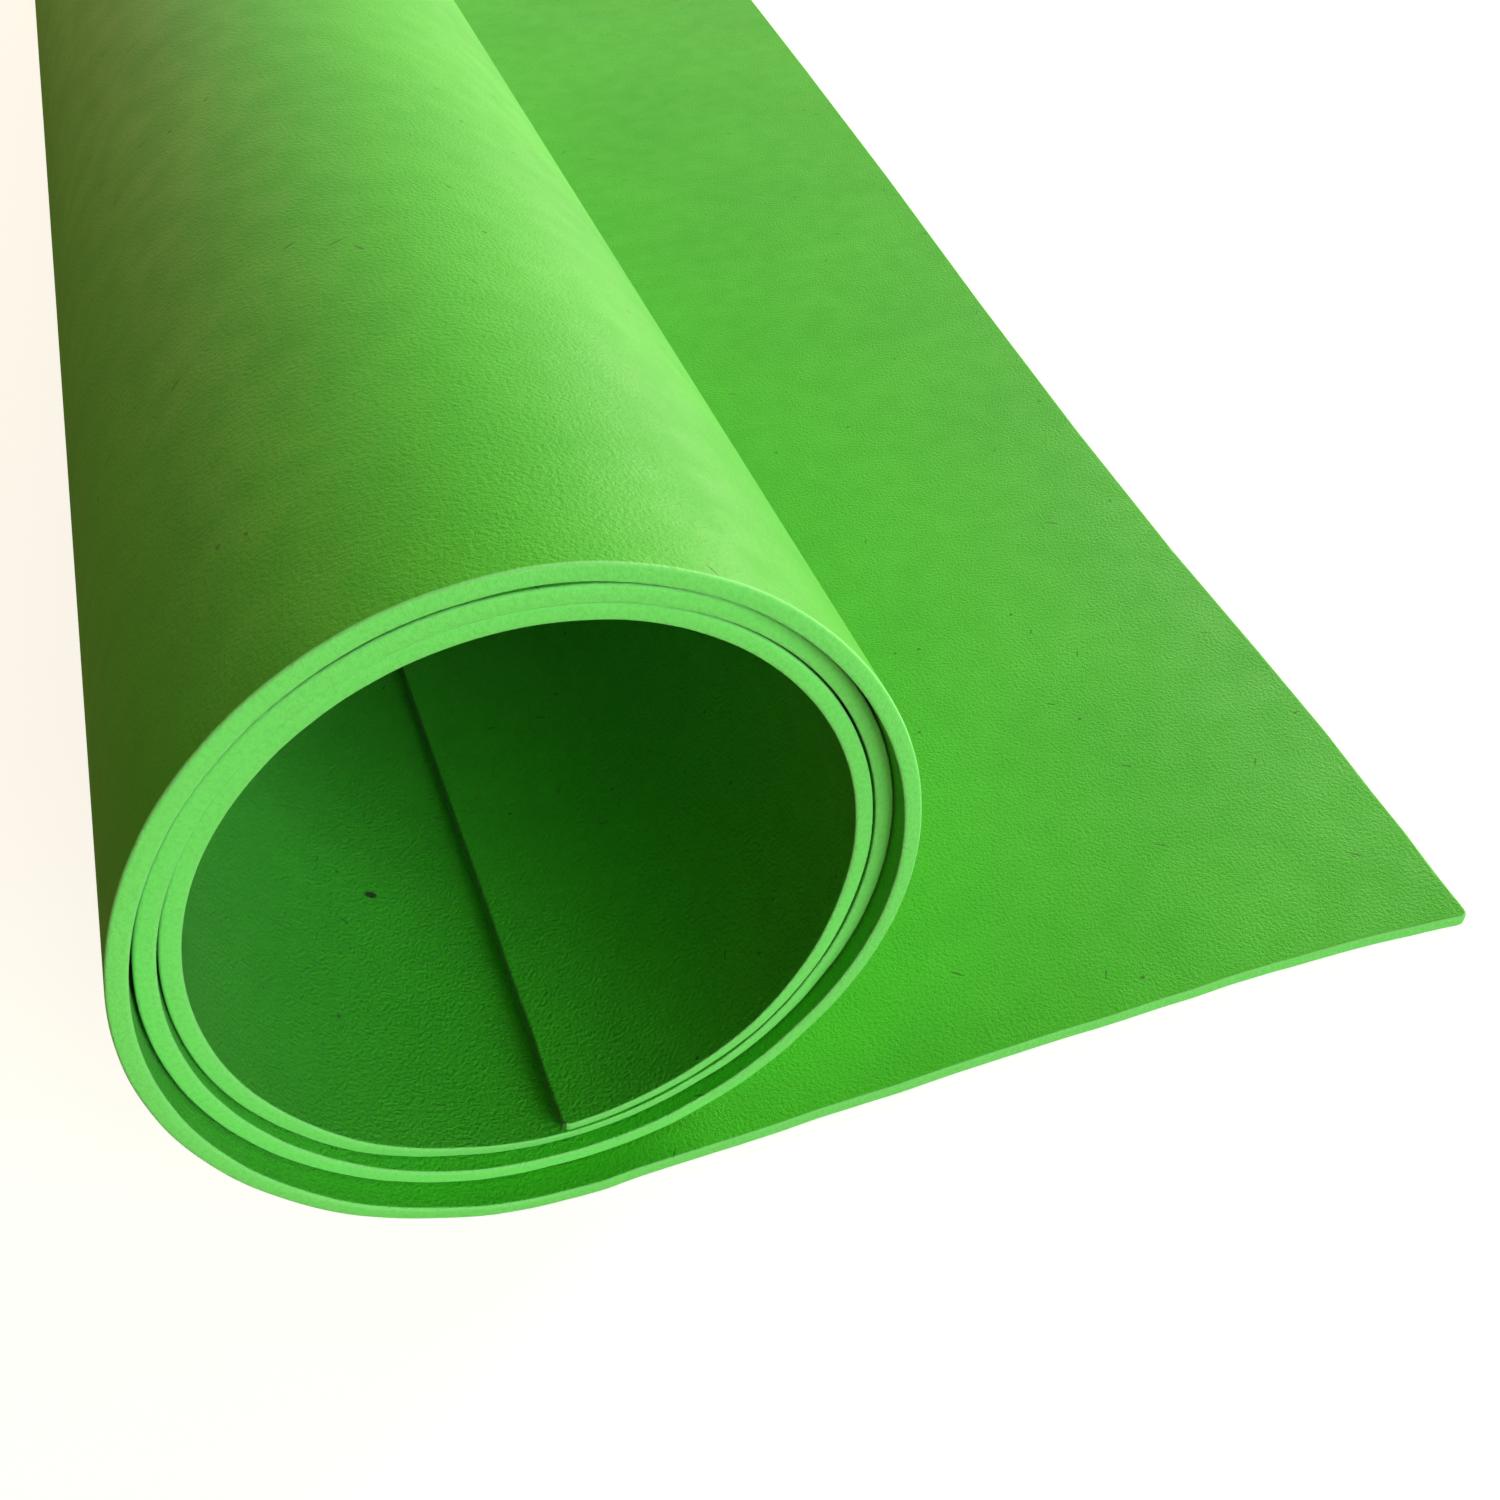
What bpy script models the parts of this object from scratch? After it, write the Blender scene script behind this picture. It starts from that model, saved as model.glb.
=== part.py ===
"""A craft foam sheet, loosely rolled from one end, with its other end lying flat.

Metres, +Z up. The roll's axis runs along Y and the flat end points to +X. The roll is a little
narrower at its back, so the flat end lies slightly askew to it. The sheet rests on z = 0, and the
origin is under the middle of its bounding box.
"""

import math

import bmesh
import bpy

# The flat sheet
SHEET_WIDTH = 0.610
SHEET_LENGTH = 0.914
THICKNESS = 0.0021

# The end that lies flat: its length at the front, and its turn from square to the roll
FLAT_LENGTH = 0.1228
FLAT_TURNED = math.radians(3.35)

# The oval that the outermost turn starts on, at the front, and how much less it is at the back
ROLL_WIDTH = 0.0881
ROLL_HEIGHT = 0.0965
ROLL_NARROWER = 0.0062

# How far the roll leans towards the flat end, for each metre of height
LEAN = 0.047

# The room between turns, and what the outermost turn bulges by at its top and left side
TURN_CLEARANCE = 0.0003
SLACK_TOP = 0.0011
SLACK_LEFT = 0.0004

# The most that the turns inside lie behind the outermost one, and how many turns in that is
SET_BACK = 0.0064
SET_BACK_TURNS = 2.2

# How finely the sheet is drawn round the roll and across it
STEPS_ROUND = 180
STEPS_ACROSS = 6
MEASURING_STEP = math.radians(0.5)

COLLECTION = "craft_foam_sheet"
NODE = "foam_sheet"
FOAM_GREEN = (0.09, 0.47, 0.05, 1.0)
FOAM_ROUGHNESS = 0.75
SHARP_ANGLE = math.radians(30)

FULL_TURN = 2 * math.pi
TURN_PITCH = THICKNESS + TURN_CLEARANCE


def remove_everything():
    for obj in list(bpy.data.objects):
        bpy.data.objects.remove(obj, do_unlink=True)


def bulge(turns, middle):
    """A smooth rise from 0 to 1 and back, within a quarter turn of the middle."""
    away = abs(turns - middle) * FULL_TURN
    return math.cos(away) ** 2 if away < math.pi / 2 else 0.0


def half_sizes(turns, across):
    """Half the roll's width and height at mid-thickness, so many turns in from the outside."""
    inwards = THICKNESS / 2 + TURN_PITCH * turns
    inwards -= SLACK_LEFT * bulge(turns, 0.25) + SLACK_TOP * bulge(turns, 0.5)
    narrower = ROLL_NARROWER * across / 2
    return ROLL_WIDTH / 2 - narrower - inwards, ROLL_HEIGHT / 2 - narrower - inwards


def roll_point(angle, across):
    """Mid-thickness about the roll's centre, at an angle from the bottom up the left side."""
    turns = angle / FULL_TURN
    half_width, half_height = half_sizes(turns, across)
    set_back = SET_BACK * (1 - (turns / SET_BACK_TURNS - 1) ** 2)
    y = across * SHEET_WIDTH / math.cos(FLAT_TURNED) + set_back
    z = -half_height * math.cos(angle)
    x = -half_width * math.sin(angle) + LEAN * z
    return x, y, z


def level_angle(across):
    """The angle at the roll's bottom where the outermost turn runs level, to lie on the floor."""
    return -math.atan(TURN_PITCH / FULL_TURN / half_sizes(0, across)[1])


def flat_length(across):
    """The length that lies flat, longer towards the back because that end is turned."""
    return FLAT_LENGTH + across * SHEET_WIDTH * math.tan(FLAT_TURNED)


def last_angle(across):
    """The angle at which the sheet's length runs out, inside the roll."""
    angle = level_angle(across)
    length_left = SHEET_LENGTH - flat_length(across)
    while True:
        step = math.dist(roll_point(angle, across), roll_point(angle + MEASURING_STEP, across))
        if step > length_left:
            return angle + MEASURING_STEP * length_left / step
        length_left -= step
        angle += MEASURING_STEP


def sheet_row(across):
    """Points along the sheet, from its free end to its end inside the roll, at mid-thickness."""
    first = level_angle(across)
    turned = last_angle(across) - first
    rolled = [roll_point(first + turned * step / STEPS_ROUND, across) for step in range(STEPS_ROUND + 1)]
    start_x, start_y, start_z = rolled[0]
    flat = flat_length(across)
    end_x = start_x + flat * math.cos(FLAT_TURNED)
    end_y = start_y - flat * math.sin(FLAT_TURNED)
    row = [(end_x, end_y, start_z)] + rolled
    return [(x - start_x, y, z - start_z + THICKNESS / 2) for x, y, z in row]


def sheet_surface():
    """The sheet without thickness: a flat grid whose points are moved to where they lie rolled."""
    columns = STEPS_ROUND + 1
    rows = [sheet_row(row / STEPS_ACROSS) for row in range(STEPS_ACROSS + 1)]
    body = bmesh.new()
    bmesh.ops.create_grid(body, x_segments=columns, y_segments=STEPS_ACROSS, size=0.5)
    for vert in body.verts:
        column = round((vert.co.x + 0.5) * columns)
        row = round((vert.co.y + 0.5) * STEPS_ACROSS)
        vert.co = rows[row][column]
    mesh = bpy.data.meshes.new("sheet_surface")
    body.to_mesh(mesh)
    body.free()
    return mesh


def thickened(surface):
    """The solid sheet, with its thickness shared between the surface's two sides."""
    guide = bpy.data.objects.new("sheet_surface", surface)
    bpy.context.scene.collection.objects.link(guide)
    solid = guide.modifiers.new("thickness", "SOLIDIFY")
    solid.thickness = THICKNESS
    solid.offset = 0.0
    solid.use_even_offset = True
    bpy.context.view_layer.update()
    evaluated = guide.evaluated_get(bpy.context.evaluated_depsgraph_get())
    mesh = bpy.data.meshes.new_from_object(evaluated)
    bpy.data.objects.remove(guide)
    return mesh


def centre_over_origin(mesh):
    for axis in (0, 1):
        places = [vert.co[axis] for vert in mesh.vertices]
        middle = (min(places) + max(places)) / 2
        for vert in mesh.vertices:
            vert.co[axis] -= middle


def foam_material():
    material = bpy.data.materials.new("foam")
    material.use_nodes = True
    shader = material.node_tree.nodes["Principled BSDF"]
    shader.inputs["Base Color"].default_value = FOAM_GREEN
    shader.inputs["Roughness"].default_value = FOAM_ROUGHNESS
    shader.inputs["Metallic"].default_value = 0.0
    return material


def add_foam_sheet(collection):
    mesh = thickened(sheet_surface())
    centre_over_origin(mesh)
    mesh.shade_smooth()
    mesh.set_sharp_from_angle(angle=SHARP_ANGLE)
    mesh.materials.append(foam_material())
    sheet = bpy.data.objects.new(NODE, mesh)
    collection.objects.link(sheet)
    return sheet


def main():
    remove_everything()
    collection = bpy.data.collections.new(COLLECTION)
    bpy.context.scene.collection.children.link(collection)
    add_foam_sheet(collection)


main()
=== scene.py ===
"""A craft foam sheet, loosely rolled from one end, with its other end lying flat.

Metres, +Z up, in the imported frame's own place. The roll's axis runs along Y, the flat end points
to +X and the camera looks along the roll from its -Y end.
"""

import math

import bmesh
import bpy
from bpy.props import FloatProperty, FloatVectorProperty, IntProperty, PointerProperty
from mathutils import Matrix, Vector


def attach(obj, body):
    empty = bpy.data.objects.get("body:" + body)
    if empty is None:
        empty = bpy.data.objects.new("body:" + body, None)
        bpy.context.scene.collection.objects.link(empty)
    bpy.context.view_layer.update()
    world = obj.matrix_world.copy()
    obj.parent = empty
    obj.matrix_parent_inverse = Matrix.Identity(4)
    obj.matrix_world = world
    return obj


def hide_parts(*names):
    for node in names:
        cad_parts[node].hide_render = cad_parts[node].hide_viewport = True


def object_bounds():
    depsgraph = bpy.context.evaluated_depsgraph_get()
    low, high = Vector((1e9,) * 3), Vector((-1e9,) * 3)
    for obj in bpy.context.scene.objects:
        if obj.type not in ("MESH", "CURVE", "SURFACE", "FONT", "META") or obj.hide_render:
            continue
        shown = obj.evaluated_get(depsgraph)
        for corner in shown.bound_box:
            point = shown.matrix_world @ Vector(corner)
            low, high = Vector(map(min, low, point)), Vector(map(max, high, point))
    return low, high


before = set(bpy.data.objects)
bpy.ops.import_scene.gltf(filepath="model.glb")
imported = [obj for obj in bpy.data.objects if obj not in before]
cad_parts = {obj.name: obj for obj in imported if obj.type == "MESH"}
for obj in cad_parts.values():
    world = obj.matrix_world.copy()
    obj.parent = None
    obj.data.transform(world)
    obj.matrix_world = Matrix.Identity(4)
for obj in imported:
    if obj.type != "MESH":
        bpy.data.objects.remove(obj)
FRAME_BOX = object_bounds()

bl_info = {
    "name": "Craft foam sheet",
    "version": (1, 0, 0),
    "blender": (4, 5, 0),
    "location": "View3D > Sidebar > Foam",
    "description": "Makes a craft foam sheet that lies partly rolled up, with its light and camera",
    "category": "Object",
}

NODE = "foam_sheet"
BODY = "root"
PIECE = "rolled_foam"

QUARTER_TURN = math.pi / 2
FULL_TURN = 2 * math.pi

PHOTO_SIDE = 1500
SENSOR = 0.036

# How many steps round each rounded lip of the cut edges, and across each corner's rounding
LIP_STEPS = 4
CORNER_STEPS = 5

# Points of the mesh that are closer than this are one
WELD = 2e-6

# The attributes that the finishes read: the place on the flat sheet, and how near a cut edge is
PLACE = "place_on_sheet"
CUT = "cut_edge"

# Where on the roll a bulge is, in turns from the bottom up the left side
LEFT = 0.25
TOP = 0.5
RIGHT = 0.75

# The grid's steps across are drawn in towards both cut edges by this much
GATHER = 3.2

# The cut edges' wander: how far in it fades out, its waves, where its noise is read for the ends
# and for the sides, and what the noise is raised by to reach as far as the size says
WANDER_FADE = 0.02
WANDER_SCALE = 45.0
WANDER_END = 0.3
WANDER_SIDE = 0.7
WANDER_STRENGTH = 4

# The free end's hollow: where it starts, where it ends, how much it ends by, and what it stands out
HOLLOW_START = (0.03, 0.11)
HOLLOW_END = (0.13, 0.29)
HOLLOW_CLOSES = 0.85
HOLLOW_PROUD = 0.05

# The drawn-out corner: from where along the flat end, and how far across
CORNER_FROM = 0.7
CORNER_ACROSS = 0.08

# The leaning cut at the bottom of the inner turns, and how far across it fades out
TILTED_TURNS = (2.0, 3.0)
TILT_FADE = 0.02

# The skin's noises: faint patches, mottle, grain, the cut's open cells and a slow swell
PATCH_SCALE = 24.0
MOTTLE_SCALE = 160.0
GRAIN_SCALE = 1900.0
CELL_SCALE = 1500.0
SWELL_SCALE = 16.0

# What each face adds to the place, so that the two faces have other patches
FACE_SHIFT = (17, 23)

# How much of each colour shows
MOTTLE_SHARE = 0.14
GRAIN_SHARE = 0.35
CELL_SHARE = 0.32
LIP_HIGHLIGHT_SHARE = 0.7
SHADE_SHARE = 0.65
LINT_SHARE = 0.6
FLECK_SHARE = 0.95

# The gloss of the skin and of the cut
SKIN_ROUGHNESS = (0.5, 0.6)
CUT_ROUGHNESS = 0.9
SPECULAR = 0.22
SHEEN = 0.1
SHEEN_ROUGHNESS = 0.4

# The relief's heights: the fine grain, what the grain inside the roll has more, cells and swell
GRAIN_RELIEF = 0.00015
INSIDE_RELIEF = 0.00045
CELL_RELIEF = 0.00016
SWELL_RELIEF = 0.00012

# How far along the sheet the grain grows to what it is inside the roll
INSIDE_FROM = (0.08, 0.2)

# The painted shade on the cut of the end inside the roll: how far in from that end it starts, and
# where it is full
SHADED_END = (0.0006, 0.0003)

# Stray bits: turn, length, width and the share of places that have one
FIBRES = ((0.5, 0.0030, 0.0004, 0.0005), (2.1, 0.0022, 0.0004, 0.0005))
SPECKS = (0.0, 0.0010, 0.0008, 0.0009)

# The oval's edge in a stray bit's cell, and the fibres' bends
STRAY_EDGE = (0.26, 0.42)
BEND_SCALE = 420.0
BEND = 0.0012

# The dark fleck inside the roll: its place along and across, and its two half sizes
FLECK_PLACE = (0.6854, 0.0429)
FLECK_HALF_SIZE = (0.0010, 0.0006)
FLECK_EDGE = (0.6, 1.2)


class Value:
    """A socket's value. An expression on values adds the Math nodes that work it out."""

    def __init__(self, wiring, socket):
        self.wiring = wiring
        self.socket = socket

    def __add__(self, other):
        return self.wiring.math("ADD", self, other)

    def __radd__(self, other):
        return self.wiring.math("ADD", other, self)

    def __sub__(self, other):
        return self.wiring.math("SUBTRACT", self, other)

    def __rsub__(self, other):
        return self.wiring.math("SUBTRACT", other, self)

    def __mul__(self, other):
        return self.wiring.math("MULTIPLY", self, other)

    def __rmul__(self, other):
        return self.wiring.math("MULTIPLY", other, self)

    def __truediv__(self, other):
        return self.wiring.math("DIVIDE", self, other)

    def __rtruediv__(self, other):
        return self.wiring.math("DIVIDE", other, self)

    def __neg__(self):
        return self.wiring.math("MULTIPLY", self, -1.0)


class Wiring:
    """Adds nodes to one tree, and links them as they are named."""

    def __init__(self, tree):
        self.tree = tree

    def node(self, kind, settings=None, values=None):
        """A node of any type: its settings are set first, then its sockets' values and links."""
        node = self.tree.nodes.new(kind)
        for name, setting in (settings or {}).items():
            setattr(node, name, setting)
        for name, value in (values or {}).items():
            self.fill(node.inputs[name], value)
        return node

    def fill(self, socket, value):
        if isinstance(value, Value):
            self.tree.links.new(value.socket, socket)
        elif value is not None:
            socket.default_value = value

    def value(self, node, output=0):
        return Value(self, node.outputs[output])

    def math(self, operation, *terms, clamp=False):
        node = self.tree.nodes.new("ShaderNodeMath")
        node.operation = operation
        node.use_clamp = clamp
        for socket, term in zip(node.inputs, terms):
            self.fill(socket, term)
        return Value(self, node.outputs[0])

    def sin(self, angle):
        return self.math("SINE", angle)

    def cos(self, angle):
        return self.math("COSINE", angle)

    def clamp(self, value):
        return self.math("ADD", value, 0.0, clamp=True)

    def least(self, one, other):
        return self.math("MINIMUM", one, other)

    def most(self, one, other):
        return self.math("MAXIMUM", one, other)

    def vector(self, x, y, z):
        node = self.node("ShaderNodeCombineXYZ", values={"X": x, "Y": y, "Z": z})
        return self.value(node)

    def parts(self, vector):
        node = self.node("ShaderNodeSeparateXYZ", values={"Vector": vector})
        return tuple(self.value(node, axis) for axis in "XYZ")

    def scaled(self, vector, factor):
        node = self.node("ShaderNodeVectorMath", {"operation": "MULTIPLY"}, {0: vector, 1: factor})
        return self.value(node, "Vector")

    def noise(self, place, scale, detail=2.0, roughness=0.5):
        values = {"Vector": place, "Scale": scale, "Detail": detail, "Roughness": roughness}
        return self.value(self.node("ShaderNodeTexNoise", values=values), 0)

    def mixed(self, factor, one, other):
        """A colour between two others."""
        node = self.node("ShaderNodeMix", {"data_type": "RGBA"})
        self.fill(node.inputs[0], factor)
        self.fill(node.inputs[6], one)
        self.fill(node.inputs[7], other)
        return Value(self, node.outputs[2])

    def ramped(self, value, low, high, start=0.0, end=1.0):
        """A smooth change from start to end as the value goes from low to high."""
        values = {"Value": value, "From Min": low, "From Max": high, "To Min": start, "To Max": end}
        smooth = {"interpolation_type": "SMOOTHSTEP"}
        return self.value(self.node("ShaderNodeMapRange", smooth, values))


def length(name, description, default):
    return FloatProperty(
        name=name, description=description, default=default, unit="LENGTH", precision=4
    )


def angle(name, description, degrees):
    return FloatProperty(
        name=name, description=description, default=math.radians(degrees), unit="ROTATION"
    )


def number(name, description, default):
    return FloatProperty(name=name, description=description, default=default)


def colour(name, description, default):
    return FloatVectorProperty(
        name=name,
        description=description,
        default=default,
        subtype="COLOR",
        size=4,
        min=0.0,
        max=1.0,
    )


class FoamSheetSizes(bpy.types.PropertyGroup):
    """The sheet's sizes, as it was cut and as it lies rolled."""

    width: length("Width", "The flat sheet's side along the roll", 0.610)
    length: length("Length", "The flat sheet's side that is rolled up", 0.914)
    thickness: length("Thickness", "The foam's thickness", 0.0021)
    flat_length: length("Flat length", "How much lies flat, along the front edge", 0.1224)
    flat_turned: angle("Flat turned", "The flat end's turn from square to the roll", 3.35)
    roll_width: length("Roll width", "The outermost turn's oval, across", 0.0881)
    roll_height: length("Roll height", "The outermost turn's oval, upright", 0.0968)
    roll_narrower: length("Roll narrower", "How much smaller that oval is at the back", 0.0062)
    lean: number("Lean", "How far the roll leans over for each metre of height", 0.047)
    turn_clearance: length("Turn clearance", "The room between two turns", 0.00024)
    slack_left: length("Slack left", "The outermost turn's bulge at its left", 0.0002)
    slack_top: length("Slack top", "The outermost turn's bulge at its top", 0.0003)
    slack_right: length("Slack right", "The outermost turn's bulge at its right", -0.0001)
    slack_length: length("Slack length", "The length that the bulges take up", 0.0003)
    set_back: length("Set back", "The most that turns inside lie behind the outermost", 0.0061)
    set_back_turns: number("Set back turns", "How many turns in it is at its most", 2.33)
    back_left: length("Back left", "How much further back the outermost left is", 0.0004)
    back_top: length("Back top", "How much further back the outermost top is", 0.0027)
    back_right: length("Back right", "How much further back the outermost right is", -0.0005)
    corner_reach: length("Corner reach", "How far the front corner is drawn forwards", 0.0026)
    end_hollow: length("End hollow", "How far the free end's edge dips inwards", 0.002)
    cut_tilt: number("Cut tilt", "The front cut's lean under the roll's inner turns", 0.32)
    corner_radius: length("Corner radius", "The rounding of the sheet's corners", 0.0014)
    edge_radius: length("Edge radius", "The rounding of the cut edges", 0.0004)
    edge_wander: length("Edge wander", "How far the hand-cut edges wander", 0.00025)
    steps_along: IntProperty(name="Steps along", description="Faces along the sheet", default=900)
    steps_across: IntProperty(name="Steps across", description="Faces across it", default=48)


class FoamColours(bpy.types.PropertyGroup):
    """The foam's colours."""

    skin: colour("Skin", "The moulded skin of both faces", (0.050, 0.55, 0.013, 1.0))
    skin_pale: colour("Skin, pale", "The skin's paler patches", (0.064, 0.61, 0.018, 1.0))
    pore: colour("Pore", "The dips of the skin's grain", (0.026, 0.36, 0.006, 1.0))
    cut: colour("Cut edge", "The open cells of the cut edges", (0.25, 0.97, 0.19, 1.0))
    cut_pore: colour("Cut pore", "The deeper cells of the cut edges", (0.16, 0.77, 0.12, 1.0))
    # The lip colour is a painted highlight, not wear: the paler line where the cut edges' rounded
    # lips catch the light.
    lip: colour("Lip", "The worn lips of the cut edges", (0.36, 0.97, 0.32, 1.0))
    # This dark colour of the stray fibres and specks is also the colour of the painted shade on the
    # cut of the end inside the roll.
    lint_and_shade: colour("Lint", "The stray fibres and specks", (0.02, 0.045, 0.01, 1.0))


def line_steps(wiring, index, steps, span, radius, corner, gather=0.0):
    """Places along a line with a rounded lip at each end, and the lip's cut into the thickness.

    The first and last steps close the lips' ends, and the corners' rounding has steps of its own.
    Gather draws the steps in between towards both ends.
    """
    edge_steps = 1 + LIP_STEPS + CORNER_STEPS
    first = wiring.clamp((index - 1) / LIP_STEPS)
    last = wiring.clamp((steps - 1 - index) / LIP_STEPS)
    first_corner = wiring.clamp((index - 1 - LIP_STEPS) / CORNER_STEPS)
    last_corner = wiring.clamp((steps - 1 - LIP_STEPS - index) / CORNER_STEPS)
    middle = wiring.clamp((index - edge_steps) / (steps - 2 * edge_steps))
    if gather:
        middle = 0.5 + wiring.math("TANH", (middle * 2 - 1) * gather) / (2 * math.tanh(gather))
    near = radius * (1 - wiring.cos(first * QUARTER_TURN)) + corner * first_corner
    far = radius * wiring.cos(last * QUARTER_TURN) + corner * (1 - last_corner)
    place = near + (span - (radius + corner) * 2) * middle + far
    lip = radius * (1 - wiring.sin(wiring.least(first, last) * QUARTER_TURN))
    open_part = wiring.clamp(wiring.least(index, steps - index))
    return place, lip, open_part


def rounded_corners(wiring, size, along, across):
    """Draws the sheet's square corners in to a round, each within its own small square."""
    radius = size["Corner radius"]
    end = wiring.math("SIGN", size["Length"] / 2 - along)
    side = wiring.math("SIGN", size["Width"] / 2 - across)
    out_along = wiring.most(radius - wiring.least(along, size["Length"] - along), 0)
    out_across = wiring.most(radius - wiring.least(across, size["Width"] - across), 0)
    reach = wiring.math("SQRT", out_along * out_along + out_across * out_across)
    kept = wiring.most(out_along, out_across) / wiring.most(reach, WELD)
    drawn_in = wiring.math("GREATER_THAN", reach, WELD) * (1 - kept)
    return along + end * out_along * drawn_in, across + side * out_across * drawn_in


def bulge(wiring, turns, middle):
    """A smooth rise from 0 to 1 and back, within a quarter turn of the middle."""
    away = wiring.math("ABSOLUTE", turns - middle) * FULL_TURN
    rise = wiring.cos(wiring.least(away, QUARTER_TURN))
    return rise * rise


def half_sizes(wiring, size, turns, share):
    """Half the roll's width and height at mid-thickness, so many turns in from the outside."""
    pitch = size["Thickness"] + size["Turn clearance"]
    inwards = size["Thickness"] / 2 + pitch * turns
    inwards = inwards - size["Slack left"] * bulge(wiring, turns, LEFT)
    inwards = inwards - size["Slack top"] * bulge(wiring, turns, TOP)
    inwards = inwards - size["Slack right"] * bulge(wiring, turns, RIGHT)
    inwards = inwards + size["Roll narrower"] * share / 2
    return size["Roll width"] / 2 - inwards, size["Roll height"] / 2 - inwards


def wandered(wiring, size, along, across):
    """Lets the cut edges wander a little from their straight lines, and nothing further in."""
    from_end = wiring.least(along, size["Length"] - along)
    from_side = wiring.least(across, size["Width"] - across)
    near_end = wiring.ramped(from_end, 0.0, WANDER_FADE, 1.0, 0.0)
    near_side = wiring.ramped(from_side, 0.0, WANDER_FADE, 1.0, 0.0)
    end_wander = wiring.noise(wiring.vector(0.0, across, WANDER_END), WANDER_SCALE) - 0.5
    side_wander = wiring.noise(wiring.vector(along, 0.0, WANDER_SIDE), WANDER_SCALE) - 0.5
    reach = size["Edge wander"] * WANDER_STRENGTH
    return along + end_wander * near_end * reach, across + side_wander * near_side * reach


def set_back(wiring, size, turns):
    """How far behind the outermost turn's start a turn lies."""
    behind = turns / size["Set back turns"] - 1
    back = size["Set back"] * (1 - behind * behind)
    back = back + size["Back left"] * bulge(wiring, turns, LEFT)
    back = back + size["Back top"] * bulge(wiring, turns, TOP)
    return back + size["Back right"] * bulge(wiring, turns, RIGHT)


def flat_end_shift(wiring, size, flat, across):
    """How the flat end leaves its straight lines, by its hollow and its drawn-out corner."""
    near_end = flat / size["Flat length"]
    dip = wiring.ramped(across, *HOLLOW_START)
    dip = dip - wiring.ramped(across, *HOLLOW_END) * HOLLOW_CLOSES
    inwards = size["End hollow"] * (dip - HOLLOW_PROUD) * near_end * near_end
    near_corner = wiring.clamp((near_end - CORNER_FROM) / (1 - CORNER_FROM))
    drawn = wiring.ramped(across, 0.0, CORNER_ACROSS, 1.0, 0.0)
    return inwards, size["Corner reach"] * near_corner * near_corner * drawn


def rolled_place(wiring, size, along, across, off_middle):
    """Where a point of the flat sheet lies, with the roll's start on the floor at zero."""
    share = across / size["Width"]
    pitch = size["Thickness"] + size["Turn clearance"]
    growth = pitch / FULL_TURN
    flat_length = size["Flat length"] + across * wiring.math("TANGENT", size["Flat turned"])
    flat = wiring.most(flat_length - along, 0)
    wound = wiring.most(along - flat_length, 0)
    start_width, start_height = half_sizes(wiring, size, 0.0, share)
    level = -wiring.math("ARCTANGENT", growth / start_height)
    radius = (start_width + start_height) / 2
    eased = wound - size["Slack length"] * wiring.clamp(wound / (radius * FULL_TURN))
    left = wiring.math("SQRT", radius * radius - growth * 2 * eased)
    angle = level + (radius - left) / growth
    turns = angle / FULL_TURN
    half_width, half_height = half_sizes(wiring, size, turns, share)
    sine, cosine = wiring.sin(angle), wiring.cos(angle)
    rise = -half_height * cosine
    x = -half_width * sine + size["Lean"] * rise
    start_rise = -start_height * wiring.cos(level)
    start_x = -start_width * wiring.sin(level) + size["Lean"] * start_rise
    step_z = half_height * sine + growth * cosine
    step_x = -half_width * cosine + growth * sine + size["Lean"] * step_z
    step = wiring.math("SQRT", step_x * step_x + step_z * step_z)
    inwards, forwards = flat_end_shift(wiring, size, flat, across)
    x = x - start_x + off_middle * step_z / step + flat * wiring.cos(size["Flat turned"]) - inwards
    z = rise - start_rise + size["Thickness"] / 2 - off_middle * step_x / step
    y = across / wiring.cos(size["Flat turned"]) - flat * wiring.sin(size["Flat turned"])
    near_bottom = sum(bulge(wiring, turns, middle) for middle in TILTED_TURNS)
    tilt = size["Cut tilt"] * near_bottom * wiring.ramped(across, 0.0, TILT_FADE, 1.0, 0.0)
    y = y + set_back(wiring, size, turns) - forwards - off_middle * tilt
    return wiring.vector(x, y, z)


TREE_INPUTS = (
    ("Width", "width"),
    ("Length", "length"),
    ("Thickness", "thickness"),
    ("Flat length", "flat_length"),
    ("Flat turned", "flat_turned"),
    ("Roll width", "roll_width"),
    ("Roll height", "roll_height"),
    ("Roll narrower", "roll_narrower"),
    ("Lean", "lean"),
    ("Turn clearance", "turn_clearance"),
    ("Slack left", "slack_left"),
    ("Slack top", "slack_top"),
    ("Slack right", "slack_right"),
    ("Slack length", "slack_length"),
    ("Set back", "set_back"),
    ("Set back turns", "set_back_turns"),
    ("Back left", "back_left"),
    ("Back top", "back_top"),
    ("Back right", "back_right"),
    ("Corner reach", "corner_reach"),
    ("End hollow", "end_hollow"),
    ("Cut tilt", "cut_tilt"),
    ("Corner radius", "corner_radius"),
    ("Edge radius", "edge_radius"),
    ("Edge wander", "edge_wander"),
    ("Steps along", "steps_along"),
    ("Steps across", "steps_across"),
)


def stored(wiring, geometry, name, kind, value):
    settings = {"data_type": kind, "domain": "POINT"}
    values = {"Geometry": geometry, "Name": name, "Value": value}
    return wiring.value(wiring.node("GeometryNodeStoreNamedAttribute", settings, values))


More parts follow.
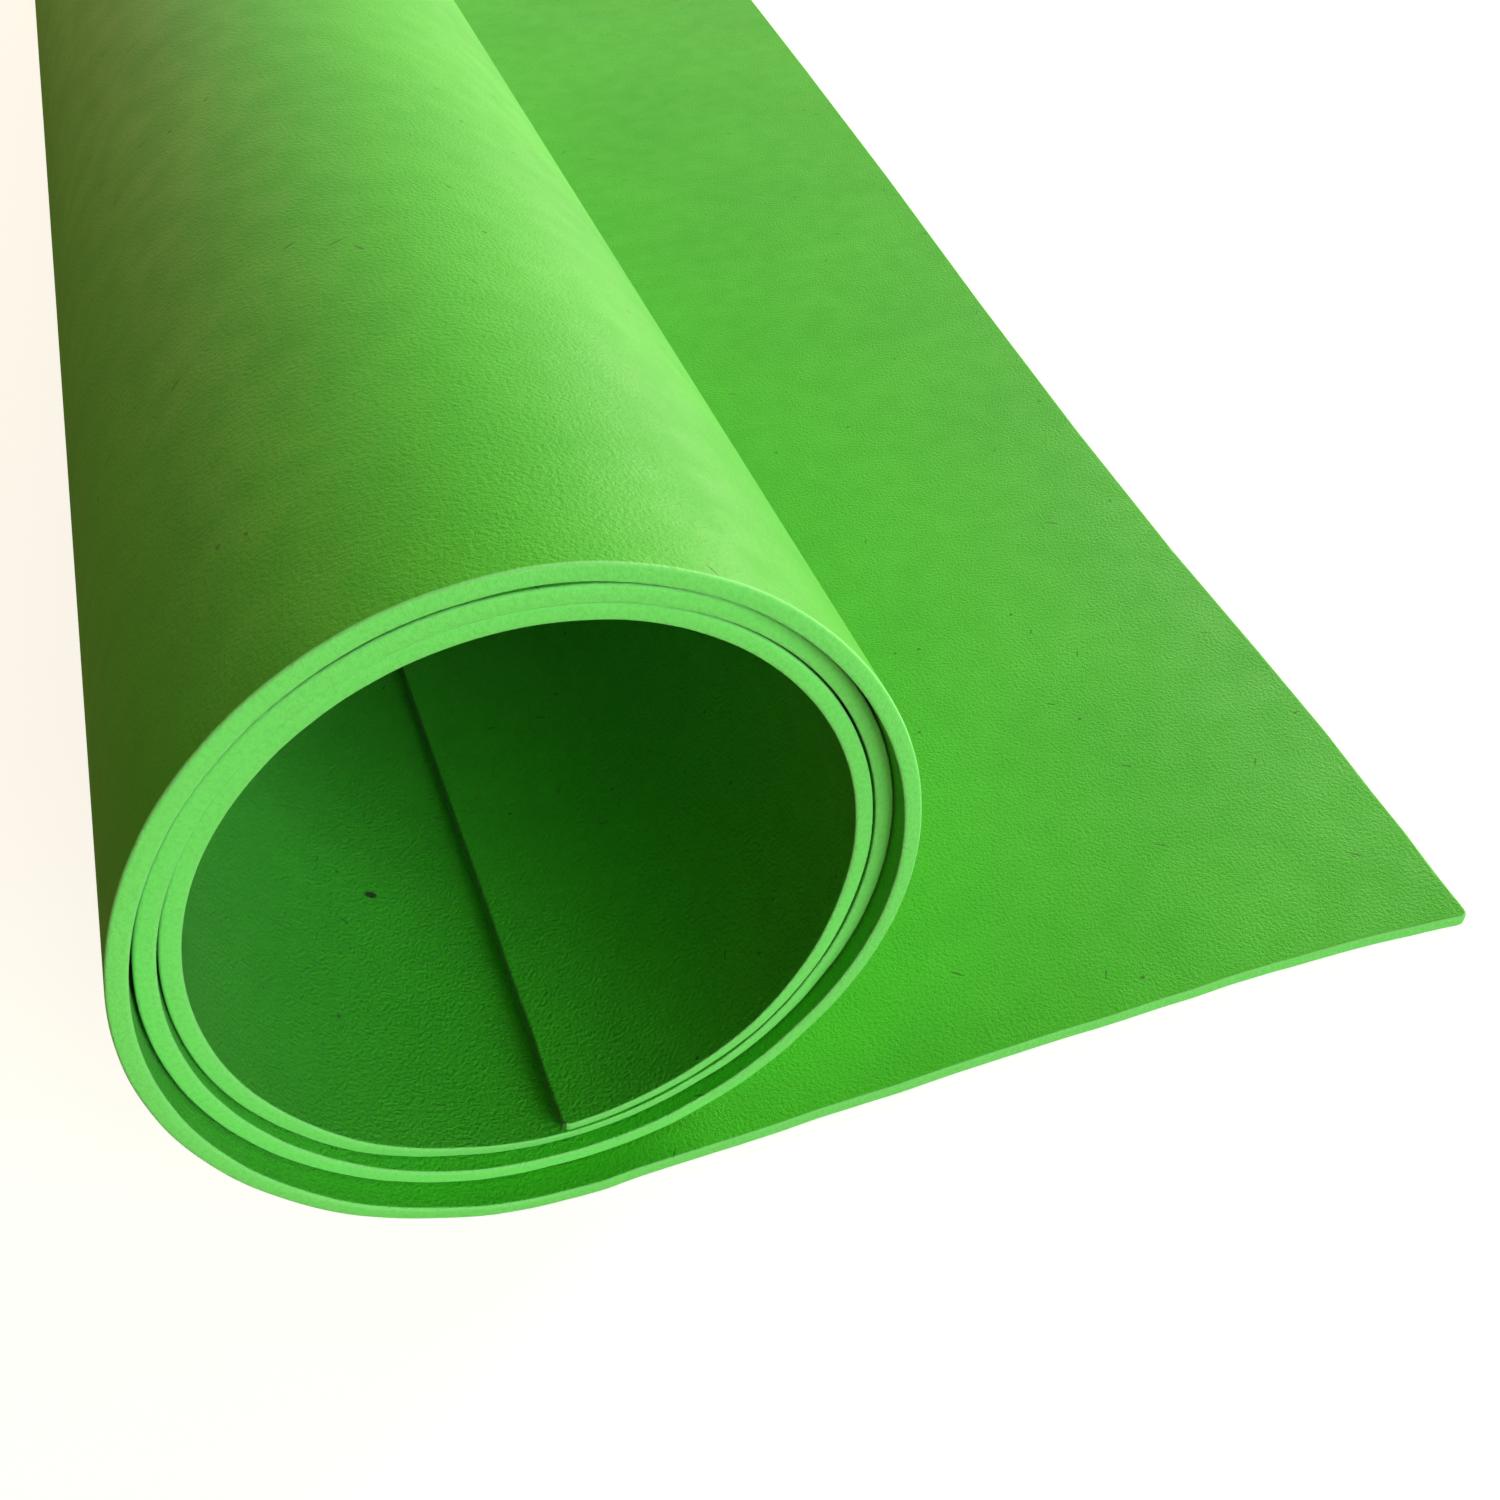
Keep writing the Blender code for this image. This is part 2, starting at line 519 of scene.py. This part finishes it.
def sheet_tree():
    """The rolled sheet as a rule: a grid round the sheet's thin section, moved to where it lies."""
    tree = bpy.data.node_groups.new("rolled_sheet", "GeometryNodeTree")
    for name, _ in TREE_INPUTS:
        kind = "NodeSocketInt" if name.startswith("Steps") else "NodeSocketFloat"
        tree.interface.new_socket(name, in_out="INPUT", socket_type=kind)
    tree.interface.new_socket("Start", in_out="INPUT", socket_type="NodeSocketVector")
    tree.interface.new_socket("Material", in_out="INPUT", socket_type="NodeSocketMaterial")
    tree.interface.new_socket("Geometry", in_out="OUTPUT", socket_type="NodeSocketGeometry")
    wiring = Wiring(tree)
    entry = wiring.node("NodeGroupInput")
    size = {socket.name: Value(wiring, socket) for socket in entry.outputs if socket.name}

    rows = size["Steps across"]
    counts = {"Vertices X": size["Steps along"] + 1, "Vertices Y": rows * 2 + 1}
    grid = wiring.node("GeometryNodeMeshGrid", values={"Size X": 1.0, "Size Y": 1.0, **counts})
    grid_x, grid_y, _ = wiring.parts(wiring.value(wiring.node("GeometryNodeInputPosition")))
    column = wiring.math("ROUND", (grid_x + 0.5) * size["Steps along"])
    row = wiring.math("ROUND", (0.5 - wiring.math("ABSOLUTE", grid_y)) * 2 * rows)
    side = wiring.math("SIGN", grid_y)
    radius, corner = size["Edge radius"], size["Corner radius"]
    along, end_lip, end_open = line_steps(
        wiring, column, size["Steps along"], size["Length"], radius, corner
    )
    across, side_lip, side_open = line_steps(
        wiring, row, rows, size["Width"], radius, corner, GATHER
    )
    off_middle = side * (size["Thickness"] / 2 - end_lip - side_lip) * end_open * side_open

    edge_x = wiring.least(along, size["Length"] - along)
    edge_y = wiring.least(across, size["Width"] - across)
    # The end inside the roll is not marked as cut, so it keeps the darker skin colour instead of
    # the paler cut colour and lip highlight: painted shade where that end lies in shade.
    shaded_inner_end = wiring.math("GREATER_THAN", along, size["Length"] / 2)
    edge_x = edge_x + shaded_inner_end * radius
    cut = 1 - wiring.ramped(wiring.least(edge_x, edge_y), 0.0, radius)
    place = wiring.vector(along, across, off_middle)
    geometry = stored(wiring, wiring.value(grid, "Mesh"), PLACE, "FLOAT_VECTOR", place)
    geometry = stored(wiring, geometry, CUT, "FLOAT", cut)
    along, across = rounded_corners(wiring, size, along, across)
    along, across = wandered(wiring, size, along, across)
    moved = rolled_place(wiring, size, along, across, off_middle)
    shift = wiring.node("ShaderNodeVectorMath", {"operation": "ADD"}, {0: moved, 1: size["Start"]})
    values = {"Geometry": geometry, "Position": wiring.value(shift, "Vector")}
    geometry = wiring.value(wiring.node("GeometryNodeSetPosition", values=values))
    values = {"Geometry": geometry, "Distance": WELD}
    geometry = wiring.value(wiring.node("GeometryNodeMergeByDistance", values=values))
    for kind in ("GeometryNodeSetShadeSmooth", "GeometryNodeRealizeInstances"):
        geometry = wiring.value(wiring.node(kind, values={"Geometry": geometry}))
    values = {"Geometry": geometry, "Material": size["Material"]}
    geometry = wiring.value(wiring.node("GeometryNodeSetMaterial", values=values))
    wiring.node("NodeGroupOutput", values={"Geometry": geometry})
    return tree


def roll_start(sizes):
    """The frame's point where the front edge leaves the floor: its box is measured from there."""
    low, high = FRAME_BOX
    back_length = sizes.flat_length + sizes.width * math.tan(sizes.flat_turned)
    x = high.x - back_length * math.cos(sizes.flat_turned)
    y = low.y + sizes.flat_length * math.sin(sizes.flat_turned)
    return Vector((x, y, low.z))


def strays(wiring, place, turn, long, thin, share):
    """Where stray bits lie: a small oval in a share of the cells of a pattern that is turned."""
    values = {"Vector": place, "Rotation": (0.0, 0.0, turn), "Scale": (long, thin, 1.0)}
    mapping = wiring.node("ShaderNodeMapping", {"vector_type": "TEXTURE"}, values)
    values = {"Vector": wiring.value(mapping), "Scale": 1.0}
    cells = wiring.node("ShaderNodeTexVoronoi", {"voronoi_dimensions": "2D"}, values)
    chosen, _, _ = wiring.parts(wiring.value(cells, "Color"))
    within = wiring.ramped(wiring.value(cells, "Distance"), *STRAY_EDGE, 1.0, 0.0)
    return within * wiring.math("LESS_THAN", chosen, share)


def linted(wiring, colours, colour, place, cut):
    """A colour with stray fibres and specks on it, and the one dark fleck inside the roll."""
    along, across, height = wiring.parts(place)
    face = wiring.vector(along + height * FACE_SHIFT[0], across + height * FACE_SHIFT[1], height)
    bent = wiring.vector(along, across + wiring.noise(place, BEND_SCALE, 1.0) * BEND, height)
    bits = sum(strays(wiring, bent, *fibres) for fibres in FIBRES)
    bits = bits + strays(wiring, face, *SPECKS)
    colour = wiring.mixed(
        wiring.clamp(bits) * (1 - cut) * LINT_SHARE, colour, tuple(colours.lint_and_shade)
    )
    fleck_along = (along - FLECK_PLACE[0]) / FLECK_HALF_SIZE[0]
    fleck_across = (across - FLECK_PLACE[1]) / FLECK_HALF_SIZE[1]
    away = fleck_along * fleck_along + fleck_across * fleck_across
    fleck = wiring.ramped(away, *FLECK_EDGE, 1.0, 0.0) * wiring.math("GREATER_THAN", height, 0)
    return wiring.mixed(fleck * FLECK_SHARE, colour, tuple(colours.lint_and_shade))


def foam_finish(colours, inner_end):
    """Matt closed-cell foam: a pebbled skin with stray fibres and specks on it, paler open cells at
    its cuts, a painted highlight along the cuts' rounded lips and painted shade on the cut of the
    end inside the roll.
    """
    material = bpy.data.materials.new("craft_foam")
    material.use_nodes = True
    wiring = Wiring(material.node_tree)
    shader = material.node_tree.nodes["Principled BSDF"]
    place = wiring.value(wiring.node("ShaderNodeAttribute", {"attribute_name": PLACE}), "Vector")
    cut = wiring.value(wiring.node("ShaderNodeAttribute", {"attribute_name": CUT}), "Fac")
    # The mask of the painted highlight along the cut edges' rounded lips
    lip = cut * (1 - cut) * 4
    along, across, height = wiring.parts(place)
    face = wiring.vector(along + height * FACE_SHIFT[0], across + height * FACE_SHIFT[1], height)

    patches = wiring.noise(face, PATCH_SCALE, 3.0, 0.55)
    mottle = wiring.noise(face, MOTTLE_SCALE, 3.0, 0.6)
    grain = wiring.noise(place, GRAIN_SCALE, 3.0, 0.65)
    cells = wiring.noise(place, CELL_SCALE, 4.0, 0.7)
    swell = wiring.noise(face, SWELL_SCALE, 2.0, 0.5)
    pore = tuple(colours.pore)
    pale = wiring.ramped(patches, 0.3, 0.7)
    skin = wiring.mixed(pale, tuple(colours.skin), tuple(colours.skin_pale))
    skin = wiring.mixed(wiring.ramped(mottle, 0.3, 0.75) * MOTTLE_SHARE, skin, pore)
    skin = wiring.mixed(wiring.ramped(grain, 0.25, 0.5, GRAIN_SHARE, 0.0), skin, pore)
    open_cells = wiring.ramped(cells, 0.35, 0.6, CELL_SHARE, 0.0)
    cut_face = wiring.mixed(open_cells, tuple(colours.cut), tuple(colours.cut_pore))
    colour = wiring.mixed(cut, skin, cut_face)
    # Painted highlight: the rounded lips of the cut edges are lightened towards the lip colour.
    colour = wiring.mixed(lip * LIP_HIGHLIGHT_SHARE, colour, tuple(colours.lip))
    # Painted shade: the cut of the end inside the roll is darkened towards the fibres' dark colour,
    # where that end lies in shade.
    shaded = wiring.ramped(along, inner_end - SHADED_END[0], inner_end - SHADED_END[1])
    colour = wiring.mixed(shaded * SHADE_SHARE, colour, tuple(colours.lint_and_shade))
    wiring.fill(shader.inputs["Base Color"], linted(wiring, colours, colour, place, cut))

    skin_roughness = wiring.ramped(mottle, 0.3, 0.7, *SKIN_ROUGHNESS)
    roughness = skin_roughness * (1 - cut) + cut * CUT_ROUGHNESS
    wiring.fill(shader.inputs["Roughness"], roughness)
    shader.inputs["Specular IOR Level"].default_value = SPECULAR
    shader.inputs["Sheen Weight"].default_value = SHEEN
    shader.inputs["Sheen Roughness"].default_value = SHEEN_ROUGHNESS
    inner_face = wiring.math("GREATER_THAN", height, 0)
    coarse = GRAIN_RELIEF + INSIDE_RELIEF * inner_face * wiring.ramped(along, *INSIDE_FROM)
    relief = grain * (1 - cut) * coarse + cells * cut * CELL_RELIEF + swell * SWELL_RELIEF
    values = {"Height": relief, "Distance": 1.0, "Strength": 1.0}
    bump = wiring.node("ShaderNodeBump", values=values)
    wiring.fill(shader.inputs["Normal"], wiring.value(bump))
    return material


class FOAM_OT_add_sheet(bpy.types.Operator):
    """Makes the rolled sheet in place of its plain solid."""

    bl_idname = "foam.add_sheet"
    bl_label = "Rolled foam sheet"

    def execute(self, context):
        sizes = context.scene.foam_sheet_sizes
        guide = bpy.data.objects.new("sheet_rule", bpy.data.meshes.new("sheet_rule"))
        context.scene.collection.objects.link(guide)
        tree = sheet_tree()
        modifier = guide.modifiers.new("rolled_sheet", "NODES")
        modifier.node_group = tree
        sockets = {item.name: item.identifier for item in tree.interface.items_tree}
        for name, prop in TREE_INPUTS:
            modifier[sockets[name]] = getattr(sizes, prop)
        modifier[sockets["Start"]] = roll_start(sizes)
        finish = foam_finish(context.scene.foam_colours, sizes.length)
        modifier[sockets["Material"]] = finish
        context.view_layer.update()
        evaluated = guide.evaluated_get(context.evaluated_depsgraph_get())
        mesh = bpy.data.meshes.new_from_object(evaluated)
        bpy.data.objects.remove(guide)
        if not mesh.polygons:
            raise RuntimeError("the rolled sheet came out empty")
        mesh.materials.clear()
        mesh.materials.append(finish)
        sheet = bpy.data.objects.new(PIECE, mesh)
        context.scene.collection.objects.link(sheet)
        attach(sheet, BODY)
        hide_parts(NODE)
        return {"FINISHED"}


# The soft lights: name, heading round from the back and height in degrees, side, power and tint
LIGHT_DISTANCE = 1.8
AIM_BACK = -0.15
AIM_UP = 0.05
LIGHTS = (
    ("right_back", 60.0, 14.0, 1.2, 64.0, (1.0, 0.76, 0.76)),
    ("right_front", 150.0, 14.0, 1.2, 21.0, (0.8, 1.0, 0.95)),
    ("front", 180.0, 8.0, 1.2, 7.0, (0.9, 1.0, 0.9)),
    ("back", 10.0, 14.0, 1.2, 5.0, (1.0, 0.8, 0.7)),
    ("back_left", 335.0, 22.0, 1.2, 7.0, (1.0, 0.8, 0.3)),
)

# The floor's sweep, from under the object outwards and up, just clear of the object's own floor
FLOOR_GAP = 0.0003
FLOOR_SIDES = 48
FLOOR_ROUGHNESS = 0.9
FLOOR_RINGS = (
    (1.0, 0.0),
    (3.0, 0.0),
    (3.6, 0.05),
    (4.1, 0.22),
    (4.5, 0.55),
    (4.8, 1.0),
    (5.0, 1.8),
    (5.0, 4.0),
)


class FoamStage(bpy.types.PropertyGroup):
    """The light and the camera."""

    floor: colour("Floor", "The pale floor", (0.9, 0.9, 0.9, 1.0))
    floor_glow: number("Floor glow", "The light that the floor itself gives", 0.75)
    surround: colour("Surround", "The light from all round", (0.15, 0.07, 0.01, 1.0))
    brightness: number("Brightness", "All lights, brighter or dimmer", 1.0)
    camera_height: length("Camera height", "The camera over the floor", 0.17289)
    camera_front: length("Camera front", "The camera before the roll's end", 0.09365)
    camera_side: length("Camera side", "The camera beyond the roll's start", 0.00293)
    heading: angle("Heading", "Turn to the right", 16.91)
    dip: angle("Dip", "Tilt down", 49.84)
    bank: angle("Bank", "Roll about the view", -5.94)
    focal_pixels: number("Focal length", "In pixels of the photo's frame", 1455.0)
    centre_right: number("Centre right", "The lens's centre, pixels right of the middle", 71.0)
    centre_down: number("Centre down", "The lens's centre, pixels below the middle", 75.0)


def add_light(name, target, heading, height, side, power, tint):
    """A square soft light, so many degrees round from the back and up, that faces the target."""
    data = bpy.data.lights.new(name, "AREA")
    data.energy = power
    data.size = side
    data.color = tint
    light = bpy.data.objects.new(name, data)
    turn, rise = math.radians(heading), math.radians(height)
    level = math.cos(rise)
    away = Vector((math.sin(turn) * level, math.cos(turn) * level, math.sin(rise)))
    light.location = target + away * LIGHT_DISTANCE
    light.rotation_mode = "QUATERNION"
    light.rotation_quaternion = (-away).to_track_quat("-Z", "Y")
    light.visible_camera = False
    bpy.context.scene.collection.objects.link(light)
    return light


def add_floor(stage):
    """A round pale floor that curves up far away, all round."""
    body = bmesh.new()
    middle = body.verts.new((0, 0, -FLOOR_GAP))
    inner = None
    for radius, height in FLOOR_RINGS:
        ring = []
        for step in range(FLOOR_SIDES):
            turn = FULL_TURN * step / FLOOR_SIDES
            x, y = radius * math.cos(turn), radius * math.sin(turn)
            ring.append(body.verts.new((x, y, height - FLOOR_GAP)))
        for one, two in zip(range(FLOOR_SIDES), list(range(1, FLOOR_SIDES)) + [0]):
            corners = (middle, ring[one], ring[two])
            if inner:
                corners = (inner[one], ring[one], ring[two], inner[two])
            body.faces.new(corners)
        inner = ring
    mesh = bpy.data.meshes.new("floor")
    body.to_mesh(mesh)
    body.free()
    mesh.shade_smooth()
    material = bpy.data.materials.new("floor")
    material.use_nodes = True
    shader = material.node_tree.nodes["Principled BSDF"]
    shader.inputs["Base Color"].default_value = tuple(stage.floor)
    shader.inputs["Roughness"].default_value = FLOOR_ROUGHNESS
    shader.inputs["Emission Color"].default_value = (1.0, 1.0, 1.0, 1.0)
    shader.inputs["Emission Strength"].default_value = stage.floor_glow
    mesh.materials.append(material)
    floor = bpy.data.objects.new("floor", mesh)
    floor.visible_diffuse = False
    floor.visible_glossy = False
    bpy.context.scene.collection.objects.link(floor)
    return floor


def add_camera(stage, start):
    data = bpy.data.cameras.new("camera")
    data.sensor_width = SENSOR * 1000
    data.lens = SENSOR * 1000 * stage.focal_pixels / PHOTO_SIDE
    data.shift_x = -stage.centre_right / PHOTO_SIDE
    data.shift_y = stage.centre_down / PHOTO_SIDE
    data.clip_start = 0.01
    camera = bpy.data.objects.new("camera", data)
    place = start + Vector((stage.camera_side, -stage.camera_front, stage.camera_height))
    turn = Matrix.Rotation(-stage.heading, 4, "Z")
    turn = turn @ Matrix.Rotation(QUARTER_TURN - stage.dip, 4, "X")
    turn = turn @ Matrix.Rotation(stage.bank, 4, "Z")
    camera.matrix_world = Matrix.Translation(place) @ turn
    bpy.context.scene.collection.objects.link(camera)
    bpy.context.scene.camera = camera
    return camera


class FOAM_OT_add_stage(bpy.types.Operator):
    """Makes the pale floor, the soft light and the camera."""

    bl_idname = "foam.add_stage"
    bl_label = "Floor, light and camera"

    def execute(self, context):
        stage = context.scene.foam_stage
        start = roll_start(context.scene.foam_sheet_sizes)
        add_floor(stage)
        add_camera(stage, start)
        world = bpy.data.worlds.new("studio")
        world.use_nodes = True
        world.node_tree.nodes["Background"].inputs["Color"].default_value = tuple(stage.surround)
        context.scene.world = world
        target = Vector((0.0, AIM_BACK, AIM_UP))
        for name, heading, height, side, power, tint in LIGHTS:
            add_light(name, target, heading, height, side, power * stage.brightness, tint)
        context.scene.view_settings.view_transform = "Standard"
        return {"FINISHED"}


class FOAM_PT_panel(bpy.types.Panel):
    """The sizes, colours and steps of the foam sheet."""

    bl_label = "Foam sheet"
    bl_space_type = "VIEW_3D"
    bl_region_type = "UI"
    bl_category = "Foam"

    def draw(self, context):
        for group in PROPERTY_GROUPS:
            box = self.layout.box()
            for name in group.__annotations__:
                box.prop(getattr(context.scene, PROPERTY_GROUPS[group]), name)
        for operator in OPERATORS:
            self.layout.operator(operator.bl_idname)


PROPERTY_GROUPS = {
    FoamSheetSizes: "foam_sheet_sizes",
    FoamColours: "foam_colours",
    FoamStage: "foam_stage",
}
OPERATORS = (FOAM_OT_add_sheet, FOAM_OT_add_stage)


def register():
    for group, name in PROPERTY_GROUPS.items():
        bpy.utils.register_class(group)
        setattr(bpy.types.Scene, name, PointerProperty(type=group))
    for operator in OPERATORS:
        bpy.utils.register_class(operator)
    bpy.utils.register_class(FOAM_PT_panel)


def unregister():
    bpy.utils.unregister_class(FOAM_PT_panel)
    for operator in reversed(OPERATORS):
        bpy.utils.unregister_class(operator)
    for group, name in PROPERTY_GROUPS.items():
        delattr(bpy.types.Scene, name)
        bpy.utils.unregister_class(group)


def main():
    register()
    bpy.ops.foam.add_sheet()
    bpy.ops.foam.add_stage()


if __name__ == "__main__":
    main()
